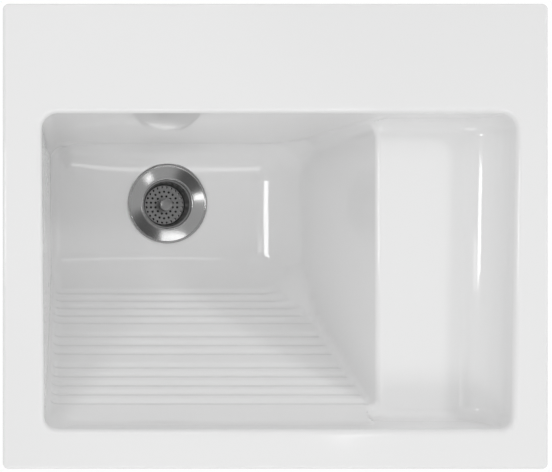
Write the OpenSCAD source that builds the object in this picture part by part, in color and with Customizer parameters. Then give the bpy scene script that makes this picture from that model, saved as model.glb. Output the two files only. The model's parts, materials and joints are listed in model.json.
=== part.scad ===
// Drop-in laundry sink with a washboard, a raised shelf and a basket strainer.
// X runs to the sink's right, Y to its back and Z up. The origin is the middle of the worktop
// cut-out, in the plane of the worktop's top face. Millimetres.

/* [Rim and deck] */
// Width of the rim from left to right
rim_w = 635; // [600:1:700]
// Depth of the rim from front to back
rim_d = 542; // [520:1:600]
// Height of the deck above the worktop
rim_h = 12; // [9:0.5:18]
// Radius of the rim's corners in plan
rim_corner_r = 7; // [5:0.5:20]
// Rounding of the rim's top edge
rim_edge_r = 4; // [2:0.5:4.5]
// Deck between the rim and the basin at the left, at the back corner
deck_left = 45; // [40:0.5:60]
// Deck at the right, at the back corner
deck_right = 35.5; // [35:0.5:60]
// Deck at the back, wide enough for taps
deck_back = 127; // [100:1:150]
// Deck at the front
deck_front = 46; // [42:0.5:70]
// How much wider the left deck is at the front than at the back
taper_left = 3.5; // [0:0.5:8]
// How much wider the right deck is at the front than at the back
taper_right = 6; // [0:0.5:10]
// Width of the rim that lies on the worktop, all round
overhang = 11; // [10.5:0.5:11.5]

/* [Walls] */
// Thickness of the gloss skin
skin_t = 4; // [3:0.5:5]
// Thickness of the glass-fibre laminate behind it
laminate_t = 4; // [3:0.5:6]
// Rounding of the basin's edge at the deck
lip_r = 6; // [5:0.5:8]
// Upright corners at the back
back_corner_r = 19; // [14:1:24]
// Upright corners at the front
front_corner_r = 14; // [11:1:18]

/* [Basin] */
// Depth of the basin's floor below the deck, at the drain
basin_depth = 290; // [240:5:330]
// Fall of the floor to the drain, in parts of its length
floor_fall = 0.02; // [0:0.005:0.03]
// Lean of the left wall from upright, in degrees
left_lean = 1.5; // [1:0.25:4]
// Lean of the back wall
back_lean = 3; // [2:0.25:5]
// Lean of the short front wall
front_lean = 3; // [2:0.25:6]
// Lean of the shelf's right wall
right_lean = 2; // [1:0.25:5]
// Lean of the wall between the shelf and the deep part
inner_lean = 14.3; // [8:0.1:18]
// Round between that wall and the floor
inner_foot_r = 55; // [30:1:70]
// Round between the left wall and the floor
left_foot_r = 16; // [10:1:24]
// Round between the back wall and the floor
back_foot_r = 52; // [36:1:56]
// How much narrower that round is at the left corner
back_foot_less = 11; // [0:1:14]

/* [Shelf] */
// Width of the shelf, from its right wall to its crest
shelf_w = 146; // [120:1:180]
// Depth of the shelf below the deck
shelf_depth = 60; // [50:1:90]
// Rounding of the shelf's crest
crest_r = 5; // [4:0.5:8]
// Round between the shelf and its walls
shelf_foot_r = 40; // [20:1:44]

/* [Washboard] */
// Washboard's top edge, measured back from the basin's front edge
board_top_in = 8; // [6:1:14]
// Washboard's top edge below the deck
board_top_depth = 45; // [38:1:55]
// Washboard's foot, measured back from the basin's front edge
board_foot_in = 155; // [140:1:170]
// Washboard's foot above the drain
board_foot_rise = 25; // [20:1:40]
// How far the washboard is hollowed between its top and its foot
board_sag = 7; // [3:0.5:12]
// Distance from the top edge to the first groove
groove_start = 28.5; // [20:0.5:32]
// Distance between grooves in the upper groups
groove_pitch = 18; // [16:0.5:18.5]
// Distance between grooves in the lowest group
low_groove_pitch = 15.4; // [15:0.1:16]
// Distance between the last groove of a group and the first of the next
groove_gap = 27.5; // [22:0.5:30]
// Width of a groove
groove_w = 14.5; // [8:0.5:14.5]
// Depth of a groove
groove_d = 2; // [1:0.1:2.5]

/* [Strainer] */
// Drain's centre, measured from the basin's left edge at the back
drain_from_left = 176.5; // [150:0.5:200]
// Drain's centre, measured from the basin's back edge
drain_from_back = 96; // [95:0.5:130]
// Outer radius of the strainer's flange
flange_r = 57; // [54:0.5:57]
// Thickness of the flange
flange_t = 1.6; // [1.2:0.1:2.5]
// Slope of the flange's dish, as fall over run
dish_slope = 0.2; // [0.1:0.01:0.35]
// Thickness of the seal under the flange
seal_t = 1; // [0.6:0.1:1.5]
// Radius of the strainer's throat
throat_r = 35.5; // [34:0.5:39]
// Wall of the strainer's cup
cup_wall = 3; // [2:0.25:3.5]
// Depth of the strainer's cup below the floor
cup_depth = 60; // [57:1:66]
// Radius of the waste spigot's bore
spigot_bore_r = 20; // [18:0.5:21]
// Length of the waste spigot
spigot_len = 22; // [18:1:30]
// Radius of the hole in the basin's floor
drain_hole_r = 43.5; // [43:0.5:46]

/* [Basket] */
// Radius of the basket's floor
basket_floor_r = 31.5; // [28:0.5:33]
// Depth of the basket's floor below the flange's edge
basket_depth = 50; // [40:0.5:51]
// Thickness of the basket's sheet
basket_t = 1; // [0.8:0.1:1.5]
// Radius of the holes in the basket
basket_hole_r = 1.7; // [1:0.1:1.9]
// Radius of the knob
knob_r = 9.5; // [7:0.5:11]
// Height of the knob's top above the basket's floor
knob_h = 37; // [26:0.5:40]
// Radius of the post
post_r = 3; // [2.5:0.25:4]

/* [Tailpiece] */
// Outer radius of the tailpiece
tail_r = 19.05; // [16:0.05:19.5]
// Wall of the tailpiece
tail_wall = 1.5; // [1:0.1:2.5]
// Length of the tailpiece below the spigot
tail_len = 95; // [60:1:150]

/* [Clips] */
// Worktop thickness that the clips are set to
worktop_t = 30; // [26:0.5:38]
// Screw radius
screw_r = 3; // [2.5:0.25:3]
// Clearance round a screw
screw_gap = 0.4; // [0.3:0.1:0.6]
// Width of a clip
clip_w = 12; // [10:0.5:13]
// Thickness of a clip
clip_t = 2.5; // [2:0.1:3]
// Reach of a clip from its screw
clip_reach = 18; // [16:0.5:19]
// Length of a clip block along the rim
block_l = 40; // [30:1:60]
// Width of a clip block
block_w = 12; // [10:0.5:12]
// Height of a clip block
block_h = 18; // [14:0.5:20]
// Distance of the clips from the middle, along the front and the back
clip_spread = 170; // [120:1:200]
// Distance of the clips' screws in from the cut-out
clip_in = 8; // [7.5:0.25:8.25]
// Place of the side clips, measured forward from the middle
side_clip_y = 40; // [0:1:90]

/* [Hidden] */
$fn = 96;

// Basin's edges at the deck
back_y = rim_d / 2 - deck_back;
front_y = -rim_d / 2 + deck_front;
left_x = -rim_w / 2 + deck_left;
right_x = rim_w / 2 - deck_right;
crest_x = right_x - shelf_w;
drain_x = left_x + drain_from_left;
drain_y = back_y - drain_from_back;
shell_t = skin_t + laminate_t;
overlap = 0.01;
face_gap = 0.3;

// Washboard: an arc of a large circle in the YZ plane, from its top edge to its foot
board_top = [front_y + board_top_in, -board_top_depth];
board_foot = [front_y + board_foot_in, -basin_depth + board_foot_rise];
board_len = norm(board_foot - board_top);
board_dir = (board_foot - board_top) / board_len;
board_up = [-board_dir[1], board_dir[0]];
board_r = board_len * board_len / (8 * board_sag) + board_sag / 2;
board_centre = (board_top + board_foot) / 2 + board_up * (board_r - board_sag);
upper_grooves = 5;
middle_grooves = 3;
lower_grooves = 5;
middle_start = groove_start + (upper_grooves - 1) * groove_pitch + groove_gap;
lower_start = middle_start + (middle_grooves - 1) * groove_pitch + groove_gap;
groove_places = concat(
    [for (n = [0:upper_grooves - 1]) groove_start + n * groove_pitch],
    [for (n = [0:middle_grooves - 1]) middle_start + n * groove_pitch],
    [for (n = [0:lower_grooves - 1]) lower_start + n * low_groove_pitch]
);
// Rounds at the washboard's foot, at its head and beside it
board_foot_r = 22;
board_head_r = 3.5;
valley_r = 8;
// How far the grooves stop short of the walls, and the length over which they fade
groove_end = 1;
groove_fade = 7;
// How far the shelf's air reaches past its crest over the washboard's head, and its round
shelf_reach = 12;
shelf_reach_r = 4;
// The drain's seat, and how far the flat under it goes on round it
seat_gap = 1;
seat_r = flange_r + seat_gap;
seat_margin = 14;

// Distances that meet in a round of radius r, inside and outside
function inner_round(a, b, r) =
    let (u = max(r - a, 0), v = max(r - b, 0)) max(r, min(a, b)) - sqrt(u * u + v * v);
function outer_round(a, b, r) = -inner_round(-a, -b, r);
function ease(lo, hi, x) = let (t = min(max((x - lo) / (hi - lo), 0), 1)) t * t * (3 - 2 * t);

// How far back from the back edge a place is, as a part of the basin
function taper_at(y) = (back_y - y) / (back_y - front_y);

// Depth of the grooves in the washboard, q along it and m in from its side walls
function groove_cut(q, m) =
    m <= groove_end ? 0 :
    let (near = min([for (c = groove_places) abs(q - c)]))
        near >= groove_w / 2 ? 0 :
        groove_d * (0.5 + 0.5 * cos(360 * near / groove_w)) * min((m - groove_end) / groove_fade, 1);

// Round of the inner wall's foot, which grows from the valley's to the floor's with the depth
function inner_round_r(depth) =
    valley_r + (inner_foot_r - valley_r)
        * ease(basin_depth - 1.6 * inner_foot_r, basin_depth - inner_foot_r / 2, depth);

// Round of the back wall's foot, which grows from the corner's with the depth and from the left
function back_round_r(depth, from_left) =
    let (foot_r = back_foot_r - back_foot_less * (1 - ease(left_foot_r, 2 * back_foot_r, from_left)))
        back_corner_r + (foot_r - back_corner_r)
            * ease(basin_depth - 1.6 * back_foot_r, basin_depth - back_foot_r / 2, depth)
            * ease(left_foot_r / 2, 2 * left_foot_r, from_left);

// Signed distance from the sink's upper surface: above 0 is open air, below 0 is inside the sink.
// z is measured from the deck. grooves is 1 for the surface that is seen and 0 for the layers below.
function air(x, y, z, grooves) =
    let (
        from_drain = norm([x - drain_x, y - drain_y]) - seat_r,
        from_floor = z + basin_depth - floor_fall * max(from_drain, 0),
        from_left = (x - left_x - taper_left * taper_at(y)) * cos(left_lean) + z * sin(left_lean),
        from_right = (right_x - taper_right * taper_at(y) - x) * cos(right_lean) + z * sin(right_lean),
        from_back = (back_y - y) * cos(back_lean) + z * sin(back_lean),
        from_front = (y - front_y) * cos(front_lean) + z * sin(front_lean),
        from_inner = (crest_x - x) * cos(inner_lean) + (z + shelf_depth) * sin(inner_lean),
        arm = [y, z] - board_centre,
        q = ([y, z] - board_top) * board_dir,
        smooth_board = board_r - norm(arm),
        from_board = grooves == 0 || abs(smooth_board) > 2 * groove_d ? smooth_board :
            smooth_board + groove_cut(q, min(from_left, from_inner)),
        floor_and_board = inner_round(from_floor, from_board, board_foot_r),
        floor_and_inner = inner_round(floor_and_board, from_inner, inner_round_r(-z)),
        deep = inner_round(floor_and_inner, from_left, left_foot_r),
        shelf_floor = inner_round(z + shelf_depth, from_right, shelf_foot_r),
        shelf = inner_round(shelf_floor, x - crest_x + shelf_reach, shelf_reach_r),
        both = outer_round(deep, shelf, crest_r),
        ends = ease(left_x + front_corner_r, left_x + 3 * front_corner_r, x)
            * (1 - ease(crest_x - shelf_reach, crest_x + shelf_reach, x)),
        front_r = front_corner_r + (board_head_r - front_corner_r) * ends,
        open = inner_round(both, from_front, front_r),
        basin = inner_round(open, from_back, back_round_r(-z, from_left)),
        // The layers below stay flat all round the drain's seat, which is cut into the back round
        seat = min(inner_round(open, from_back, back_corner_r), seat_margin - from_drain)
    )
    outer_round(z, grooves == 0 ? max(basin, seat) : basin, lip_r);

// Height at which the surface lies, level below the upper one, found by halving
function surface_z(x, y, level, grooves, lo, hi, steps) =
    steps == 0 ? (lo + hi) / 2 :
    let (mid = (lo + hi) / 2)
        air(x, y, mid, grooves) > level ?
            surface_z(x, y, level, grooves, lo, mid, steps - 1) :
            surface_z(x, y, level, grooves, mid, hi, steps - 1);
function surface_point(p, level, grooves) =
    [p[0], p[1], rim_h + surface_z(p[0], p[1], level, grooves, -basin_depth - 2 * shell_t, level, 15)];

// Grid of the basin: insets of its edges from the basin's, and the first steps in from them
left_run = basin_depth * tan(left_lean);
right_run = shelf_depth * tan(right_lean);
back_run = basin_depth * tan(back_lean);
front_run = shelf_depth * tan(front_lean);
back_foot_w = back_foot_r * tan(45 - back_lean / 2);
inner_left = left_run + 1.6 * left_foot_r;
inner_right = right_run + 0.6 * shelf_foot_r * tan(45 - right_lean / 2);
inner_back = back_run + 0.55 * back_foot_w;
inner_front = board_top_in + 4;
grid_steps = [0, 7, 16];
grid_edge = grid_steps[2];
front_steps = [0, 2.4, 4.8];
floor_columns = 7;

// Columns from left to right. They follow the line where the inner wall meets the floor or the
// washboard, so that no cell of the grid crosses it.
function bottom_depth(y) =
    min(basin_depth, sqrt(board_r * board_r - pow(y - board_centre[0], 2)) - board_centre[1]);
function toe_out(y) = max((bottom_depth(y) - shelf_depth) * tan(inner_lean), shelf_reach);
function columns_at(y) =
    let (
        start = left_x + inner_left + grid_edge,
        round_r = inner_round_r(bottom_depth(y)),
        toe_x = crest_x - toe_out(y),
        foot_x = toe_x - round_r,
        rise_w = min(crest_r, toe_out(y) / 2),
        shelf_end = right_x - inner_right - grid_edge
    )
    concat(
        [for (step = grid_steps) left_x + inner_left + step],
        [for (k = [1:floor_columns]) start + (foot_x - start) * k / floor_columns],
        [for (k = [0.25, 0.47, 0.65, 0.8, 0.93, 1.06, 1.18]) foot_x + round_r * k],
        [(toe_x + crest_x) / 2 - 0.6 * rise_w],
        [for (k = [-1, -0.8, -0.5, -0.2]) crest_x + rise_w * k],
        [for (k = [0.1, 0.5, 1]) crest_x + crest_r * k],
        [for (k = [0.33, 0.66]) crest_x + crest_r + (shelf_end - crest_x - crest_r) * k],
        [for (k = [2:-1:0]) right_x - inner_right - grid_steps[k]]
    );

// Rows from front to back: three on each groove
function board_y(q) =
    let (bow = sqrt(board_r * board_r - pow(q - board_len / 2, 2)) - (board_r - board_sag))
        board_top[0] + board_dir[0] * q - board_up[0] * bow;
front_rows = [for (step = front_steps) front_y + inner_front + step];
groove_rows = [for (c = groove_places, side = [-0.5, 0, 0.5]) board_y(c + side * groove_w)];
last_groove_y = groove_rows[len(groove_rows) - 1];
back_foot_y = back_y - back_run - back_foot_w;
floor_back = min(back_foot_y, back_y - inner_back - grid_edge - grid_steps[1] / 2);
floor_rows = concat(
    [for (k = [0.15, 0.35, 0.6, 0.85, 1]) last_groove_y + (floor_back - last_groove_y) * k],
    [for (k = [2:-1:0]) back_y - inner_back - grid_steps[k]]
);
fine_rows = concat(front_rows, groove_rows, floor_rows);
// Every sixth row of the grooves is enough for the smooth layers below
coarse_picks = concat(
    [for (k = [0:2]) k],
    [for (k = [0:6:len(groove_rows) - 1]) k + 3],
    [for (k = [0:len(floor_rows) - 1]) 3 + len(groove_rows) + k]
);
coarse_rows = [for (k = coarse_picks) fine_rows[k]];
fine_columns = [for (y = fine_rows) columns_at(y)];
coarse_columns = [for (y = coarse_rows) columns_at(y)];
last_col = len(fine_columns[0]) - 1;

// Cells round the grid's edge, anticlockwise from the front left corner
function edge_cells(ny) = concat(
    [for (i = [0:1:last_col - 1]) [i, 0]],
    [for (j = [0:1:ny - 1]) [last_col, j]],
    [for (i = [last_col:-1:1]) [i, ny]],
    [for (j = [ny:-1:1]) [0, j]]
);
function edge_index(i, j, ny) =
    j == 0 ? i : i == last_col ? last_col + j :
    j == ny ? last_col + ny + last_col - i : 2 * last_col + ny + ny - j;

// A ring is [left, right, back and front insets from the basin's edge, corner radii at the back
// and the front, how far its corners are squared, taper, height or undef to follow the surface]
function ring_point(ring, rows, columns, cell) =
    let (
        ny = len(rows) - 1,
        mi = min(cell[0], last_col - cell[0]),
        mj = min(cell[1], ny - cell[1]),
        sx = cell[0] < last_col / 2 ? -1 : 1,
        sy = cell[1] < ny / 2 ? -1 : 1,
        end_y = sy > 0 ? back_y - ring[2] : front_y + ring[3],
        y = mj == 0 ? end_y : rows[cell[1]],
        corner = mi <= 2 && mj <= 2,
        line_y = corner ? end_y : y,
        end_x = sx < 0 ? left_x + ring[0] + ring[7] * taper_left * taper_at(line_y) :
            right_x - ring[1] - ring[7] * taper_right * taper_at(line_y),
        x = mi == 0 ? end_x : columns[cell[1]][cell[0]],
        r = sy > 0 ? ring[4] : ring[5],
        angle = 45 + 22.5 * (mi - mj),
        round_x = end_x - sx * r * (1 - cos(angle)),
        round_y = end_y - sy * r * (1 - sin(angle))
    )
    corner ? [round_x + (x - round_x) * ring[6], round_y + (y - round_y) * ring[6]] : [x, y];

// Vertices of rings and of the grid inside the last one
function layer_points(rings, rows, columns, level, grooves) = concat(
    [for (ring = rings, cell = edge_cells(len(rows) - 1))
        let (p = ring_point(ring, rows, columns, cell))
            ring[8] == undef ? surface_point(p, level, grooves) : [p[0], p[1], rim_h + ring[8]]],
    [for (j = [1:len(rows) - 2], i = [1:last_col - 1])
        surface_point([columns[j][i], rows[j]], level, grooves)]
);
function cell_index(i, j, count, ny) =
    let (around = 2 * (last_col + ny))
        i == 0 || j == 0 || i == last_col || j == ny ? (count - 1) * around + edge_index(i, j, ny) :
        count * around + (j - 1) * (last_col - 1) + i - 1;
function turned(face, up) = up ? face : [face[2], face[1], face[0]];
function layer_faces(count, ny, base, up) =
    let (around = 2 * (last_col + ny))
    concat(
        [for (k = [0:1:count - 2], n = [0:around - 1], half = [0, 1])
            let (
                m = (n + 1) % around,
                a = base + k * around + n,
                b = base + k * around + m,
                c = base + (k + 1) * around + m,
                d = base + (k + 1) * around + n
            )
            turned(half == 0 ? [a, c, b] : [a, d, c], up)],
        [for (j = [0:ny - 1], i = [0:last_col - 1], half = [0, 1])
            let (
                a = base + cell_index(i, j, count, ny),
                b = base + cell_index(i + 1, j, count, ny),
                c = base + cell_index(i + 1, j + 1, count, ny),
                d = base + cell_index(i, j + 1, count, ny)
            )
            turned(half == 0 ? [a, c, b] : [a, d, c], up)]
    );

// Rings set by the rim, by the deck and by the basin's walls
function rim_ring(inset, r, z) =
    [inset - deck_left, inset - deck_right, inset - deck_back, inset - deck_front, r, r, 0, 0, z];
function lip_ring(out, z) =
    [-out, -out, -out, -out, back_corner_r + out, front_corner_r + out, 0, 1, z];
function wall_ring(part, t) = [
    left_run * part - t, right_run * part - t, back_run * part - t, front_run * part - t,
    back_corner_r + t, front_corner_r + t, 0, 1, undef
];
function foot_ring(part, t) = [
    left_run - t + (inner_left - left_run + t) * part,
    right_run - t + (inner_right - right_run + t) * part,
    back_run - t + (inner_back - back_run + t) * part,
    front_run - t + (inner_front - front_run + t) * part,
    back_corner_r + t, front_corner_r + t, part, 1 - part * part, undef
];
function under_rings(t) = concat(
    [lip_ring(t + 2, -t), lip_ring(t - 0.2, undef)],
    [for (part = [0.3, 0.65, 1]) wall_ring(part, t)],
    [for (part = [0.2, 0.5, 1]) foot_ring(part, t)]
);
top_rings = concat(
    [
        rim_ring(0, rim_corner_r, -rim_h), rim_ring(0, rim_corner_r, -rim_edge_r),
        rim_ring(rim_edge_r * (1 - cos(45)), rim_corner_r, -rim_edge_r * (1 - sin(45))),
        rim_ring(rim_edge_r, rim_corner_r, 0), lip_ring(lip_r, 0)
    ],
    [for (a = [30, 60]) lip_ring(lip_r * (1 - sin(a)), undef)],
    [for (part = [0.04, 0.35, 0.7, 1]) wall_ring(part, 0)],
    [for (part = [0.12, 0.3, 0.6, 1]) foot_ring(part, 0)]
);
skin_under_rings = concat(
    [rim_ring(skin_t, rim_corner_r, -rim_h), rim_ring(skin_t, rim_corner_r, -skin_t)],
    under_rings(skin_t)
);
laminate_gap = 3;
laminate_in = overhang + laminate_gap;
laminate_top_rings = concat([rim_ring(laminate_in, rim_corner_r, -skin_t)], under_rings(skin_t));
laminate_under_rings = concat([rim_ring(laminate_in, rim_corner_r, -shell_t)], under_rings(shell_t));

// Flat strip between an outer ring on the fine rows and an inner one on the coarse rows
function fine_index(n) =
    let (
        ny = len(coarse_rows) - 1,
        cell = edge_cells(ny)[n % (2 * (last_col + ny))]
    )
    edge_index(cell[0], coarse_picks[cell[1]], len(fine_rows) - 1);
function strip_faces(base) =
    let (
        inner = 2 * (last_col + len(coarse_rows) - 1),
        outer = 2 * (last_col + len(fine_rows) - 1)
    )
    [
        for (n = [0:inner - 1])
            let (
                m = (n + 1) % inner,
                first = fine_index(n),
                last = m == 0 ? outer : fine_index(m)
            )
            each concat(
                [for (k = [first:last - 1]) [base + n, k % outer, (k + 1) % outer]],
                [[base + n, last % outer, base + m]]
            )
    ];

floor_z = rim_h - basin_depth;
// The flat under the basin for the washer, spot-faced into the laminate
drain_pad_r = 56;
drain_pad_cut = 0.5;
under_z = floor_z - shell_t + drain_pad_cut;
// The dished seat in the floor, and the same slope for what lies on it, measured from the floor
function seat_rise(r) = -dish_slope * (seat_r - r);

module at_drain(z = 0) {
    translate([drain_x, drain_y, floor_z + z])
        children();
}

// The drain hole, the dished seat for the flange and the flat for the washer below
module drain_cuts() {
    at_drain(-basin_depth)
        cylinder(r = drain_hole_r, h = 2 * basin_depth);
    at_drain(seat_rise(drain_hole_r))
        cylinder(r1 = drain_hole_r, r2 = seat_r, h = -seat_rise(drain_hole_r));
    at_drain()
        cylinder(r = seat_r, h = basin_depth / 2);
    translate([drain_x, drain_y, under_z - basin_depth / 2])
        cylinder(r = drain_pad_r, h = basin_depth / 2);
}

module sink_skin() {
    top = layer_points(top_rings, fine_rows, fine_columns, 0, 1);
    below = layer_points(skin_under_rings, coarse_rows, coarse_columns, -skin_t, 0);
    color("white")
        difference() {
            polyhedron(
                points = concat(top, below),
                faces = concat(
                    layer_faces(len(top_rings), len(fine_rows) - 1, 0, true),
                    layer_faces(len(skin_under_rings), len(coarse_rows) - 1, len(top), false),
                    strip_faces(len(top))
                ),
                convexity = 8
            );
            drain_cuts();
        }
}

module backing_laminate() {
    top = layer_points(laminate_top_rings, coarse_rows, coarse_columns, -skin_t, 0);
    below = layer_points(laminate_under_rings, coarse_rows, coarse_columns, -shell_t, 0);
    around = 2 * (last_col + len(coarse_rows) - 1);
    color("lightgrey")
        difference() {
            polyhedron(
                points = concat(top, below),
                faces = concat(
                    layer_faces(len(laminate_top_rings), len(coarse_rows) - 1, 0, true),
                    layer_faces(len(laminate_under_rings), len(coarse_rows) - 1, len(top), false),
                    [for (n = [0:around - 1], half = [0, 1])
                        let (m = (n + 1) % around)
                            half == 0 ? [n, m, len(top) + m] : [n, len(top) + m, len(top) + n]]
                ),
                convexity = 8
            );
            drain_cuts();
        }
}

// Under the deck
cutout_x = rim_w / 2 - overhang;
cutout_y = rim_d / 2 - overhang;
laminate_z = rim_h - shell_t;
board_side_gap = 6;
deck_board_t = 12;
deck_board_l = 520;
rim_seal_w = 5.5;

module tap_deck_board() {
    front = back_y + shell_t + board_side_gap;
    back = cutout_y - clip_in - block_w / 2 - board_side_gap;
    color("burlywood")
        translate([-deck_board_l / 2, front, laminate_z - deck_board_t])
            cube([deck_board_l, back - front, deck_board_t]);
}

// A rectangle with round corners, set in from the rim
module rim_outline(inset) {
    x = rim_w / 2 - inset;
    y = rim_d / 2 - inset;
    r = rim_corner_r;
    square([2 * x, 2 * (y - r)], center = true);
    square([2 * (x - r), 2 * y], center = true);
    for (sx = [-1, 1], sy = [-1, 1])
        translate([sx * (x - r), sy * (y - r)])
            circle(r = r);
}

module rim_seal() {
    color("grey")
        linear_extrude(rim_h - skin_t)
            difference() {
                rim_outline(skin_t + face_gap);
                rim_outline(skin_t + face_gap + rim_seal_w);
            }
}

// Clips: each place is [x, y, direction outward]
clip_places = [
    [-clip_spread, cutout_y - clip_in, 90],
    [clip_spread, cutout_y - clip_in, 90],
    [-clip_spread, -cutout_y + clip_in, -90],
    [clip_spread, -cutout_y + clip_in, -90],
    [-cutout_x + clip_in, -side_clip_y, 180],
    [cutout_x - clip_in, -side_clip_y, 0]
];
block_under_z = laminate_z - block_h;
insert_r = 4.5;
insert_l = 12;
fit_gap = 0.05;
clip_lip_h = 4;
clip_heel = 7;
arm_z = -worktop_t - clip_lip_h;
washer_t = 1.2;
washer_r = 7;
washer_gap = 0.1;
screw_head_r = 5.8;
screw_head_h = 4;
washer_z = arm_z - clip_t - washer_gap;
screw_tip_gap = 2;
screw_top_z = laminate_z - screw_tip_gap;

module at_clip(place, z) {
    translate([place[0], place[1], z])
        rotate([0, 0, place[2]])
            children();
}

module clip_blocks() {
    color("burlywood")
        for (place = clip_places)
            at_clip(place, block_under_z)
                difference() {
                    translate([-block_w / 2, -block_l / 2, 0])
                        cube([block_w, block_l, block_h]);
                    translate([0, 0, -overlap])
                        cylinder(r = insert_r + fit_gap, h = insert_l + overlap);
                    cylinder(r = screw_r + screw_gap, h = block_h - screw_tip_gap / 2);
                }
}

module clip_inserts() {
    color("goldenrod")
        for (place = clip_places)
            at_clip(place, block_under_z)
                difference() {
                    cylinder(r = insert_r, h = insert_l);
                    translate([0, 0, -overlap])
                        cylinder(r = screw_r + fit_gap, h = insert_l + 2 * overlap);
                }
}

module clip_screws() {
    color("silver")
        for (place = clip_places)
            at_clip(place, washer_z - washer_t) {
                cylinder(r = screw_r, h = screw_top_z - washer_z + washer_t);
                translate([0, 0, -screw_head_h])
                    cylinder(r = screw_head_r, h = screw_head_h, $fn = 6);
            }
}

module clip_washers() {
    color("silver")
        for (place = clip_places)
            at_clip(place, washer_z - washer_t)
                difference() {
                    cylinder(r = washer_r, h = washer_t);
                    translate([0, 0, -overlap])
                        cylinder(r = screw_r + fit_gap, h = washer_t + 2 * overlap);
                }
}

// A bent strip: an arm under the worktop with a lip that bites it, and a heel against the block
module clip(n) {
    heel_h = block_under_z - face_gap - arm_z;
    corner_cut = clip_w / 3;
    color("silver")
        at_clip(clip_places[n], arm_z)
            difference() {
                union() {
                    translate([-clip_heel, -clip_w / 2, -clip_t])
                        cube([clip_heel + clip_reach, clip_w, clip_t]);
                    translate([clip_reach - clip_t, -clip_w / 2, -clip_t])
                        cube([clip_t, clip_w, clip_t + clip_lip_h]);
                    translate([-clip_heel, -clip_w / 4, -clip_t])
                        cube([clip_t, clip_w / 2, clip_t + heel_h]);
                }
                translate([0, 0, -clip_t - overlap])
                    cylinder(r = screw_r + screw_gap, h = clip_t + 2 * overlap);
                // The arm's inner corners are cut back so that it turns clear of the basin
                for (side = [-1, 1])
                    translate([-clip_heel, side * clip_w / 2, -clip_t - overlap])
                        rotate([0, 0, 45])
                            translate([-corner_cut / 2, -corner_cut / 2, 0])
                                cube([corner_cut, corner_cut, clip_t + 2 * overlap]);
            }
}
module clip_back_left() { clip(0); }
module clip_back_right() { clip(1); }
module clip_front_left() { clip(2); }
module clip_front_right() { clip(3); }
module clip_left() { clip(4); }
module clip_right() { clip(5); }

// Strainer, in heights above the floor at the drain
cup_r = throat_r + cup_wall;
flange_under = seal_t;
flange_over = seal_t + flange_t;
cup_floor_t = 3;
cup_floor = -cup_depth + cup_floor_t;
cup_corner = 2;
spigot_wall = 3.9;
spigot_r = spigot_bore_r + spigot_wall;
spigot_bevel = 1.5;
spigot_end = -cup_depth - spigot_len;
// The flange's bevelled edge, the flat land inside it and the round into the throat
edge_bevel = 0.4;
edge_land = 2.4;
throat_round = 2;
edge_top = seat_rise(flange_r) + flange_over;
function flange_top(r) = seat_rise(r) + flange_over;

module strainer_body() {
    color("silver")
        at_drain()
            rotate_extrude()
                polygon([
                    [cup_r, seat_rise(cup_r) + flange_under],
                    [flange_r, seat_rise(flange_r) + flange_under],
                    [flange_r, edge_top - edge_bevel],
                    [flange_r - edge_bevel, edge_top],
                    [flange_r - edge_land / 2, edge_top],
                    [flange_r - edge_land, flange_top(flange_r - edge_land)],
                    [throat_r + throat_round, flange_top(throat_r + throat_round)],
                    [throat_r + throat_round / 3, flange_top(throat_r) - throat_round / 6],
                    [throat_r, flange_top(throat_r) - throat_round],
                    [throat_r, cup_floor + cup_corner],
                    [throat_r - cup_corner, cup_floor],
                    [spigot_bore_r + spigot_bevel, cup_floor],
                    [spigot_bore_r, cup_floor - spigot_bevel],
                    [spigot_bore_r, spigot_end],
                    [spigot_r, spigot_end],
                    [spigot_r, -cup_depth],
                    [cup_r, -cup_depth]
                ]);
}

seal_in = drain_hole_r + seat_gap;
seal_out = flange_r - seat_gap;
module flange_seal() {
    color("black")
        at_drain()
            rotate_extrude()
                polygon([
                    [seal_in, seat_rise(seal_in)],
                    [seal_out, seat_rise(seal_out)],
                    [seal_out, seat_rise(seal_out) + seal_t],
                    [seal_in, seat_rise(seal_in) + seal_t]
                ]);
}

// A flat ring, from z up
module ring(outer, inner, h, z) {
    translate([0, 0, z])
        difference() {
            cylinder(r = outer, h = h);
            translate([0, 0, -overlap])
                cylinder(r = inner, h = h + 2 * overlap);
        }
}

under_top = under_z - floor_z;
under_washer_t = 3;
friction_t = 1.5;
washer_out_r = drain_pad_r - 2;
nut_h = 12;
nut_r = cup_r + 8.5;
nut_lugs = 8;
nut_lug_w = 10;
nut_lug_out = 4;

module under_washer() {
    color("black")
        at_drain()
            ring(washer_out_r, cup_r + face_gap, under_washer_t, under_top - under_washer_t);
}

module friction_ring() {
    color("tan")
        at_drain()
            ring(washer_out_r - 1, cup_r + face_gap, friction_t, under_top - under_washer_t - friction_t);
}

module lock_nut() {
    z = under_top - under_washer_t - friction_t - nut_h;
    color("silver")
        at_drain(z)
            difference() {
                union() {
                    cylinder(r = nut_r, h = nut_h);
                    for (n = [0:nut_lugs - 1])
                        rotate([0, 0, n * 360 / nut_lugs])
                            translate([nut_r - 2, -nut_lug_w / 2, 0])
                                cube([nut_lug_out + 2, nut_lug_w, nut_h]);
                }
                translate([0, 0, -overlap])
                    cylinder(r = cup_r + fit_gap, h = nut_h + 2 * overlap);
            }
}

// Basket: a perforated cup that turns on its post, and the post with its stopper
basket_z = edge_top - basket_depth;
basket_rim_r = throat_r - face_gap;
basket_rim_z = -9;
basket_foot = 2;
// Rings of holes in the basket's floor, each [count, radius], and the row in its wall
hole_rings = [[12, 13.2], [18, 19.9], [24, 26.6]];
side_holes = 24;
side_cut = 10;

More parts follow.
